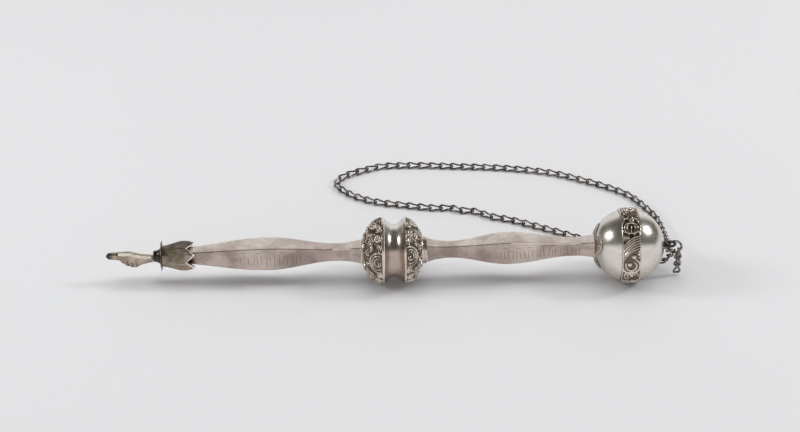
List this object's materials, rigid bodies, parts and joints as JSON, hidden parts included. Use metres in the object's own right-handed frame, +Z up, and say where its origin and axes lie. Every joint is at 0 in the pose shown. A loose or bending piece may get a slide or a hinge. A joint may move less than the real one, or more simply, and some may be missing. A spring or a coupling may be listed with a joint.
{
  "type": "torah pointer",
  "caption": "Silver reading pointer: pointing hand, leaf cup, four-sided baluster shafts, scrolled knop, globe with chased band, end ring and neck chain.",
  "frame": {"origin": "on the surface that the pointer lies on, below the middle of its length", "axes": "+X from the fingertip towards the ball, +Z up, the chain lies spread out towards +Y"},
  "size_m": [0.2538, 0.1191, 0.0326],
  "materials": {
    "silver": "worn satin silver",
    "polished_silver": "polished",
    "chased_silver": "chased, dark in its hollows",
    "tarnished_silver": "brown and olive tarnish",
    "blackened_silver": "blackened",
    "warm_silver": "worn warm-toned silver",
    "oxidised_silver": "oxidised wire"
  },
  "bodies": {
    "root": {"pointing_hand": "warm_silver", "wrist_ferrule": "blackened_silver", "star_collar": "silver", "leaf_cup": "tarnished_silver", "front_shaft": "silver", "knop_front_dome": "chased_silver", "knop_groove": "polished_silver", "knop_rear_dome": "chased_silver", "rear_shaft": "silver", "ball_calyx": "tarnished_silver", "ball": "polished_silver", "ball_band": "chased_silver", "end_eye": "blackened_silver", "jump_ring": "oxidised_silver", "neck_chain": "oxidised_silver", "chain_tail": "oxidised_silver"}
  },
  "joints": []
}
